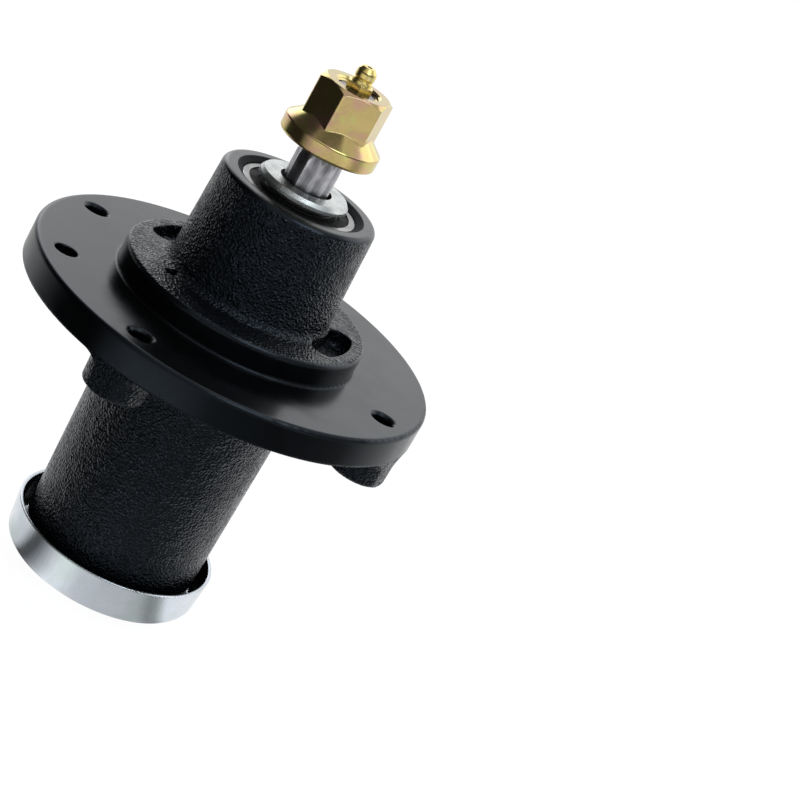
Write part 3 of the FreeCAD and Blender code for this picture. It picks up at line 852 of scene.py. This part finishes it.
def cut_from(node: str, cutters: list[bpy.types.Mesh], name: str) -> bpy.types.Object:
    """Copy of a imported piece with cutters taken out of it.

    Args:
        node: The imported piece.
        cutters: Closed meshes in the model's frame.
        name: Name of the new piece.

    Returns:
        The new piece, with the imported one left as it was.
    """
    shape = bmesh.new()
    shape.from_mesh(frame["nodes"][node].data)
    bmesh.ops.remove_doubles(shape, verts=shape.verts, dist=WELD_DISTANCE)
    mesh = bpy.data.meshes.new(name)
    shape.to_mesh(mesh)
    shape.free()
    to_mm = Matrix.Scale(1 / MM, 4)
    mesh.transform(to_mm)
    piece = bpy.data.objects.new(name, mesh)
    bpy.context.scene.collection.objects.link(piece)
    tools = []
    for number, cutter in enumerate(cutters):
        cutter.transform(to_mm)
        tool = bpy.data.objects.new(f"{name}_cutter_{number}", cutter)
        bpy.context.scene.collection.objects.link(tool)
        cut = piece.modifiers.new(tool.name, "BOOLEAN")
        cut.operation, cut.solver, cut.object = "DIFFERENCE", "EXACT", tool
        tools.append(tool)
    graph = bpy.context.evaluated_depsgraph_get()
    result = bpy.data.meshes.new_from_object(piece.evaluated_get(graph))
    piece.modifiers.clear()
    piece.data = result
    result.name = name
    result.transform(Matrix.Scale(MM, 4))
    for tool in tools:
        bpy.data.objects.remove(tool)
    smooth_by_angle(result)
    return piece


def dress_nodes(nodes: list[str], finishes: dict[str, Finish]) -> None:
    """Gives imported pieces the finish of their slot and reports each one.

    Args:
        nodes: Names of the pieces.
        finishes: Finish by slot.
    """
    for node in nodes:
        finish = finishes[SLOTS[node]]
        for holder in frame["nodes"][node].material_slots:
            holder.material = finish.material()
        LOG.info("%s wears %s", node, finish.slot)


@dataclass
class Housing:
    """The casting, whose paint follows its turned and cast faces."""

    node: str = "spindle_housing"
    mouth_chamfer: float = 2.0 * MM

    def paint(self) -> CastPaint:
        """Paint fitted to the casting's own sizes.

        Returns:
            The finish for the casting.
        """
        _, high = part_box(self.node)
        _, bearing_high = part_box("upper_bearing_outer_ring")
        return CastPaint(
            slot=SLOTS[self.node], flange_r=high.x, deck_z=MOUNTS["deck_face"]["pos_m"][2],
            pilot_r=MOUNTS["deck_pilot"]["dims"]["r_mm"] * MM, hub_top_z=high.z,
            mouth_r=bearing_high.x + self.mouth_chamfer)

    def build(self, finishes: dict[str, Finish]) -> None:
        """Dresses the casting."""
        finishes[SLOTS[self.node]] = self.paint()
        dress_nodes([self.node], finishes)


@dataclass
class Bearing:
    """One sealed ball bearing."""

    side: Side
    pieces: tuple[str, ...] = ("inner_ring", "outer_ring", "balls", "cage", "seal")

    def build(self, finishes: dict[str, Finish]) -> None:
        """Dresses the bearing's pieces."""
        dress_nodes([f"{self.side.value}_bearing_{piece}" for piece in self.pieces], finishes)


@dataclass
class Shaft:
    """The shaft with its cut threads: one for the nut and one for the blade bolt."""

    node: str = "spindle_shaft"
    thread_r: float = 7.14 * MM
    thread_depth: float = 0.75 * MM
    thread_pitch: float = 25.4 / 18 * MM
    thread_l: float = 21.5 * MM
    bolt_depth: float = 0.52 * MM
    bolt_pitch: float = 25.4 / 24 * MM
    bolt_blind_turns: float = 3.0

    def threads(self) -> list[bpy.types.Mesh]:
        """Cutters of both threads.

        Returns:
            The nut's thread and the blade bolt's thread as closed meshes.
        """
        _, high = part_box(self.node)
        hole = MOUNTS["blade_bolt_hole"]["dims"]
        hole_r, hole_l = hole["r_mm"] * MM, hole["length_mm"] * MM
        outside = Thread(Screw.OUTSIDE, self.thread_r, self.thread_r - self.thread_depth, self.thread_pitch,
                         high.z - self.thread_l + self.thread_pitch, high.z + self.thread_pitch)
        inside = Thread(Screw.INSIDE, hole_r, hole_r + self.bolt_depth, self.bolt_pitch,
                        -self.bolt_pitch, hole_l - self.bolt_blind_turns * self.bolt_pitch)
        return [outside.cutter("nut_thread_cutter"), inside.cutter("bolt_thread_cutter")]

    def build(self, finishes: dict[str, Finish]) -> None:
        """Cuts the threads and dresses the shaft.

        Args:
            finishes: Finish by slot.
        """
        shaft = cut_from(self.node, self.threads(), "threaded_shaft")
        finish = finishes[SLOTS[self.node]]
        shaft.data.materials.clear()
        shaft.data.materials.append(finish.material())
        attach(shaft, "rotor")
        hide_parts(self.node)
        LOG.info("threaded_shaft wears %s", finish.slot)


@dataclass
class Stack:
    """The rings, washer and cup clamped on the shaft."""

    nodes: list[str] = field(default_factory=lambda: [
        "bearing_spacer", "lower_spacer", "upper_collar", "pulley_washer", "dust_cup"])

    def build(self, finishes: dict[str, Finish]) -> None:
        """Dresses the stacked pieces."""
        dress_nodes(self.nodes, finishes)


@dataclass
class Nut:
    """The flanged nut with its inner thread."""

    node: str = "flange_nut"
    bore_r: float = 7.19 * MM
    thread_depth: float = 0.62 * MM
    thread_pitch: float = 25.4 / 18 * MM
    top_gap_turns: float = 0.75

    def build(self, finishes: dict[str, Finish]) -> None:
        """Dresses the nut and adds the ridge of its thread.

        Args:
            finishes: Finish by slot.
        """
        dress_nodes([self.node], finishes)
        low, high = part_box(self.node)
        thread = Thread(Screw.INSIDE, self.bore_r - self.thread_depth, self.bore_r, self.thread_pitch,
                        low.z + self.thread_pitch, high.z - self.top_gap_turns * self.thread_pitch)
        mesh = thread.ridge("nut_thread", thread.root_r, thread.crest_r)
        smooth_by_angle(mesh)
        ridge = bpy.data.objects.new("nut_thread", mesh)
        bpy.context.scene.collection.objects.link(ridge)
        finish = finishes[SLOTS[self.node]]
        mesh.materials.append(finish.material())
        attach(ridge, "rotor")
        LOG.info("nut_thread wears %s", finish.slot)


@dataclass
class GreaseFitting:
    """The nipple with its check ball and its spring."""

    nodes: list[str] = field(default_factory=lambda: ["grease_fitting_body", "grease_fitting_ball"])
    spring_node: str = "grease_fitting_spring"
    slide: str = "check_ball_slide"

    def spring(self, finish: Finish) -> bpy.types.Object:
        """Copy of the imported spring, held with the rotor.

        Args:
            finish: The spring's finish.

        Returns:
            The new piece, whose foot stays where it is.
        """
        mesh = frame["nodes"][self.spring_node].data.copy()
        mesh.materials.clear()
        mesh.materials.append(finish.material())
        coil = bpy.data.objects.new("fitting_coil", mesh)
        bpy.context.scene.collection.objects.link(coil)
        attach(coil, "rotor")
        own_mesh(coil)
        return coil

    def build(self, finishes: dict[str, Finish]) -> None:
        """Dresses the fitting's pieces and puts a copy of the spring in place of the imported one.

        Args:
            finishes: Finish by slot.
        """
        dress_nodes(self.nodes, finishes)
        finish = finishes[SLOTS[self.spring_node]]
        coil = self.spring(finish)
        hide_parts(self.spring_node)
        LOG.info("fitting_coil wears %s", finish.slot)


@dataclass(frozen=True)
class Softbox:
    """One square studio lamp that faces the spindle."""

    name: str
    from_right_deg: float
    elevation_deg: float
    distance: float
    width: float
    height: float
    watts: float
    color: Color = (1.0, 1.0, 1.0)


@dataclass(frozen=True)
class FloorRing:
    """How bright gloss sees one ring of the floor, by angle, and where the ring starts and is full."""

    start: float
    full: float
    levels: Levels


@dataclass
class Studio:
    """Pale floor, soft lamps and a surround that is bright behind and dark in front and at the left."""

    camera_azimuth_deg: float = CAMERA_AZIMUTH_DEG
    aim_z: float = 0.095
    floor_size: float = 40.0
    floor_drop: float = 0.1 * MM
    floor_albedo: Color = (0.12, 0.12, 0.12)
    floor_glow: float = 0.95
    ambient: float = 0.4
    rings: tuple[FloorRing, ...] = (
        FloorRing(0.0, 0.0, (
            (-180, 0.9), (-100, 0.95), (-84, 0.8), (-68, 0.68), (-63, 0.42), (-58, 0.10), (-51, 0.09),
            (-44, 0.28), (-36, 0.6), (-27, 1.0), (-20, 1.0), (-8, 0.68), (11, 0.58), (40, 0.52), (51, 0.3),
            (58, 0.38), (68, 0.95), (180, 0.95))),
        FloorRing(0.068, 0.085, (
            (-180, 0.85), (-112, 0.85), (-98, 0.75), (-82, 0.15), (-50, 0.06), (-20, 0.18), (0, 0.27),
            (20, 0.16), (55, 0.22), (80, 0.5), (103, 1.0), (180, 0.95))),
        FloorRing(0.230, 0.250, (
            (-180, 0.8), (-111, 0.72), (-95, 0.25), (-80, 0.02), (-52, 0.02), (-38, 0.7), (-30, 1.0),
            (-8, 1.0), (10, 0.3), (40, 0.12), (82, 0.2), (100, 0.65), (130, 0.95), (180, 0.95))),
        FloorRing(0.335, 0.360, (
            (-180, 0.8), (-111, 0.72), (-95, 0.25), (-80, 0.02), (40, 0.02), (66, 0.15), (82, 0.18),
            (100, 0.65), (130, 0.95), (180, 0.95))),
        FloorRing(0.45, 0.50, (
            (-180, 0.9), (-138, 0.7), (-121, 0.4), (-112, 0.08), (-103, 0.02), (-58, 0.02), (-45, 0.12),
            (-25, 0.32), (8, 0.38), (30, 0.38), (55, 0.6), (75, 0.42), (100, 0.52), (115, 0.95),
            (180, 0.95))),
        FloorRing(0.60, 0.62, (
            (-180, 0.95), (-128, 0.95), (-116, 0.5), (-108, 0.02), (-58, 0.02), (-44, 0.5), (-28, 0.95),
            (0, 1.0), (55, 1.0), (66, 0.75), (76, 0.35), (88, 0.35), (100, 0.95), (134, 1.0), (180, 0.95))),
        FloorRing(0.685, 0.705, (
            (-180, 0.95), (-128, 0.95), (-116, 0.5), (-108, 0.02), (-58, 0.02), (-42, 0.5), (-18, 0.95),
            (-4, 0.95), (18, 0.66), (38, 0.66), (48, 1.0), (60, 1.0), (70, 0.55), (90, 0.55), (110, 0.95),
            (156, 1.0), (180, 0.95))),
    )
    sky_levels: Levels = (
        (-180, 0.76), (-165, 0.68), (-157, 0.70), (-148, 0.55), (-134, 0.02), (60, 0.03), (95, 0.16),
        (118, 0.72), (165, 0.82), (180, 0.76))
    upper_levels: Levels = (
        (-180, 0.6), (-160, 0.5), (-142, 0.04), (-62, 0.04), (-42, 0.6), (180, 0.6))
    zenith_level: float = 0.14
    horizon_rise: Span = (0.04, 0.12)
    upper_rise: Span = (0.46, 0.60)
    zenith_rise: Span = (0.93, 0.98)
    softboxes: tuple[Softbox, ...] = (
        Softbox("back_softbox", 180.0, 24.0, 1.3, 1.6, 0.7, 1.8),
        Softbox("left_softbox", -155.0, 26.0, 1.1, 0.5, 0.7, 1.0),
        Softbox("right_softbox", 125.0, 34.0, 1.1, 0.7, 0.6, 1.2),
        Softbox("front_softbox", 35.0, 50.0, 1.0, 0.5, 0.5, 1.8, (0.88, 0.94, 1.0)),
        Softbox("top_softbox", 180.0, 70.0, 1.2, 0.8, 0.8, 1.0),
    )

    def heading(self, from_right_deg: float) -> Vector:
        """Level direction at an angle from the camera's side, counted towards the camera's right."""
        angle = math.radians(self.camera_azimuth_deg - 90.0 + from_right_deg)
        return Vector((math.cos(angle), math.sin(angle), 0.0))

    def brightness(self, graph: Graph, direction: Socket, levels: Levels) -> Socket:
        """Level of the surround at a place or in a direction, by its angle from the camera's side.

        Args:
            graph: The graph to add nodes to.
            direction: Place on the floor or direction in the world.
            levels: Angle and level of each stop, from the left round to the right.

        Returns:
            A value from 0 to 1.
        """
        ahead, aside = (
            graph.add("VectorMath", {0: direction, 1: tuple(self.heading(turn))}, operation="DOT_PRODUCT")
            for turn in (0.0, 90.0))
        angle = graph.math("ARCTAN2", aside.outputs["Value"], ahead.outputs["Value"])
        share = graph.math("MULTIPLY_ADD", angle, 0.5 / math.pi, 0.5)
        ramp = graph.add("ValToRGB", {0: share})
        stops = ramp.color_ramp.elements
        for _ in levels[2:]:
            stops.new(0.5)
        for stop, (turn, level) in zip(stops, levels):
            stop.position = turn / 360.0 + 0.5
            stop.color = (level, level, level, 1.0)
        return ramp.outputs["Color"]

    def seen(self, graph: Graph) -> tuple[Socket, Socket]:
        """What a ray comes from.

        Args:
            graph: The graph to add nodes to.

        Returns:
            Whether it comes from the camera, and whether it comes from gloss or glass.
        """
        path = graph.add("LightPath").outputs
        gloss = graph.math("MAXIMUM", path["Is Glossy Ray"], path["Is Transmission Ray"])
        return path["Is Camera Ray"], gloss

    def floor(self) -> None:
        """Floor that keeps the shadow, looks white and is clear from below."""
        half = self.floor_size / 2
        mesh = bpy.data.meshes.new("floor")
        low = -self.floor_drop
        mesh.from_pydata([(-half, -half, low), (half, -half, low), (half, half, low), (-half, half, low)], [],
                         [(0, 1, 2, 3)])
        plane = bpy.data.objects.new("floor", mesh)
        bpy.context.scene.collection.objects.link(plane)
        material = bpy.data.materials.new("pale_floor")
        material.use_nodes = True
        graph = Graph(material.node_tree)
        camera, gloss = self.seen(graph)
        ground = graph.add("NewGeometry").outputs
        spot = ground["Position"]
        reach = graph.add("VectorMath", {0: spot}, operation="LENGTH").outputs["Value"]
        level = self.brightness(graph, spot, self.rings[0].levels)
        for ring in self.rings[1:]:
            level = graph.lerp(graph.step(reach, ring.start, ring.full), level,
                               self.brightness(graph, spot, ring.levels))
        glow = graph.math("MAXIMUM", camera, graph.math("MULTIPLY", gloss, level))
        pale = graph.mix(gloss, self.floor_albedo, (0.0, 0.0, 0.0))
        lit = graph.add("BsdfDiffuse", {"Color": pale}).outputs[0]
        shine = graph.add("Emission", {"Strength": graph.math("MULTIPLY", glow, self.floor_glow)}).outputs[0]
        both = graph.add("AddShader", {0: lit, 1: shine}).outputs[0]
        clear = graph.add("BsdfTransparent").outputs[0]
        seen = graph.add("MixShader", {0: ground["Backfacing"], 1: both, 2: clear}).outputs[0]
        graph.feed(graph.add("OutputMaterial").inputs["Surface"], seen)
        mesh.materials.append(material)

    def world(self) -> None:
        """White world for the camera, a graded one for gloss and an even one for soft light."""
        world = bpy.data.worlds.new("studio")
        world.use_nodes = True
        graph = Graph(world.node_tree)
        camera, gloss = self.seen(graph)
        direction = graph.add("TexCoord").outputs["Generated"]
        rise = graph.add("SeparateXYZ", {0: direction}).outputs[2]
        level = self.brightness(graph, direction, self.rings[-1].levels)
        for span, levels in ((self.horizon_rise, self.sky_levels), (self.upper_rise, self.upper_levels)):
            level = graph.lerp(graph.step(rise, *span), level, self.brightness(graph, direction, levels))
        level = graph.lerp(graph.step(rise, *self.zenith_rise), level, self.zenith_level)
        strength = graph.lerp(camera, graph.lerp(gloss, self.ambient, level), 1.0)
        background = graph.add("Background", {"Color": (1.0, 1.0, 1.0), "Strength": strength})
        graph.feed(graph.add("OutputWorld").inputs["Surface"], background.outputs[0])
        bpy.context.scene.world = world

    def lamps(self) -> None:
        """Area lamps round the spindle."""
        aim = Vector((0.0, 0.0, self.aim_z))
        for box in self.softboxes:
            lamp = bpy.data.lights.new(box.name, "AREA")
            lamp.shape, lamp.size, lamp.size_y = "RECTANGLE", box.width, box.height
            lamp.energy, lamp.color = box.watts, box.color
            rise = math.radians(box.elevation_deg)
            out = self.heading(box.from_right_deg) * math.cos(rise) + Vector((0, 0, math.sin(rise)))
            holder = bpy.data.objects.new(box.name, lamp)
            holder.location = aim + out * box.distance
            holder.rotation_euler = out.to_track_quat("Z", "Y").to_euler()
            bpy.context.scene.collection.objects.link(holder)

    def build(self) -> None:
        """Sets up the floor, the world and the lamps."""
        self.floor()
        self.world()
        self.lamps()
        bpy.context.scene.view_settings.view_transform = "Standard"
        LOG.info("studio is lit")


@dataclass
class PhotoCamera:
    """Camera that sees the spindle as the photograph does."""

    azimuth_deg: float = CAMERA_AZIMUTH_DEG
    elevation_deg: float = 20.292
    distance: float = 704.07 * MM
    yaw_deg: float = -4.8576
    pitch_deg: float = 0.0187
    roll_deg: float = 28.6216
    lens_mm: float = 98.26
    sensor_mm: float = 36.0
    clip: Span = (0.01, 100.0)

    def build(self) -> None:
        """Places the camera round the middle of the deck face and makes it the scene's own."""
        azimuth, rise = math.radians(self.azimuth_deg), math.radians(self.elevation_deg)
        spot = Vector((0.0, 0.0, MOUNTS["deck_face"]["pos_m"][2]))
        right = Vector((math.cos(azimuth), math.sin(azimuth), 0.0))
        level = Vector((math.sin(azimuth), -math.cos(azimuth), 0.0))
        back = level * math.cos(rise) + Vector((0.0, 0.0, math.sin(rise)))
        up = back.cross(right)
        yaw = Matrix.Rotation(math.radians(self.yaw_deg), 3, up)
        back_turned, right_turned = yaw @ back, yaw @ right
        pitch = Matrix.Rotation(math.radians(self.pitch_deg), 3, right_turned)
        back_turned = pitch @ back_turned
        roll = Matrix.Rotation(math.radians(self.roll_deg), 3, back_turned)
        right_turned = roll @ right_turned
        up_turned = back_turned.cross(right_turned)
        camera = bpy.data.cameras.new("photo_camera")
        camera.lens, camera.sensor_width = self.lens_mm, self.sensor_mm
        camera.clip_start, camera.clip_end = self.clip
        holder = bpy.data.objects.new("photo_camera", camera)
        bpy.context.scene.collection.objects.link(holder)
        turned = Matrix((right_turned, up_turned, back_turned)).transposed().to_4x4()
        holder.matrix_world = Matrix.Translation(spot + back * self.distance) @ turned
        bpy.context.scene.camera = holder
        LOG.info("camera is in place")


def all_finishes() -> dict[str, Finish]:
    """Every finish but the casting's paint, by slot.

    Returns:
        The finishes.
    """
    finishes = [
        # Bearing steel is coloured darker than bare ground steel: painted shade for the rings down in the
        # hub's mouth.
        TurnedSteel("bearing_steel", color=(0.36, 0.36, 0.36), dark=(0.20, 0.20, 0.21),
                    roughness=0.30, spacing=0.18 * MM, ring_depth=0.004 * MM),
        TurnedSteel("ball_steel", color=(0.72, 0.72, 0.73), dark=(0.60, 0.60, 0.62),
                    roughness=0.06, spacing=0.9 * MM, ring_depth=0.0),
        TurnedSteel("spacer_steel", color=(0.45, 0.45, 0.46), dark=(0.25, 0.25, 0.26),
                    roughness=0.30, spacing=0.22 * MM, ring_depth=0.01 * MM),
        TurnedSteel("spring_steel", color=(0.50, 0.50, 0.50), dark=(0.30, 0.30, 0.31),
                    roughness=0.25, spacing=0.1 * MM, ring_depth=0.002 * MM),
        CagePlastic("cage_plastic"),
        Rubber("seal_rubber"),
        SplineSteel("shaft_steel"),
        Plating("bright_zinc", color=(0.55, 0.58, 0.58), tint=(0.46, 0.50, 0.50),
                other_tint=(0.61, 0.63, 0.62), edge=(0.80, 0.82, 0.81), pit_and_top_shade=(0.32, 0.35, 0.34),
                drift=6 * MM, roughness=0.22, rough_patch=0.14, streak_depth=0.0, grain_depth=0.10 * MM,
                grain_scale=2400.0),
        Plating("cup_zinc", color=(0.74, 0.80, 0.87), tint=(0.67, 0.76, 0.76),
                other_tint=(0.81, 0.85, 0.91), edge=(0.76, 0.80, 0.84), pit_and_top_shade=(0.34, 0.37, 0.41),
                drift=14 * MM, roughness=0.12, rough_patch=0.08, streak_depth=0.03 * MM,
                grain_depth=0.006 * MM, top_shade=0.6, edge_width=0.6 * MM),
        Plating("yellow_zinc", color=(0.72, 0.56, 0.23), tint=(0.77, 0.49, 0.32),
                other_tint=(0.66, 0.62, 0.22), edge=(0.86, 0.77, 0.50), pit_and_top_shade=(0.22, 0.16, 0.06),
                drift=7 * MM, roughness=0.12, rough_patch=0.08, streak_depth=0.0, grain_depth=0.014 * MM,
                top_shade=0.55),
        Plating("fitting_brass", color=(0.84, 0.67, 0.23), tint=(0.76, 0.63, 0.24),
                other_tint=(0.88, 0.76, 0.34), edge=(0.94, 0.86, 0.52), pit_and_top_shade=(0.30, 0.22, 0.07),
                drift=3 * MM, roughness=0.20, rough_patch=0.10, streak_depth=0.0, grain_depth=0.008 * MM),
    ]
    return {finish.slot: finish for finish in finishes}


def main() -> None:
    """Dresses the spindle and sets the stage."""
    logging.basicConfig(level=logging.INFO, format="%(name)s: %(message)s")
    finishes = all_finishes()
    bearings = [Bearing(side) for side in Side]
    for part in (Housing(), *bearings, Shaft(), Stack(), Nut(), GreaseFitting()):
        part.build(finishes)
    Studio().build()
    PhotoCamera().build()


if __name__ == "__main__":
    main()
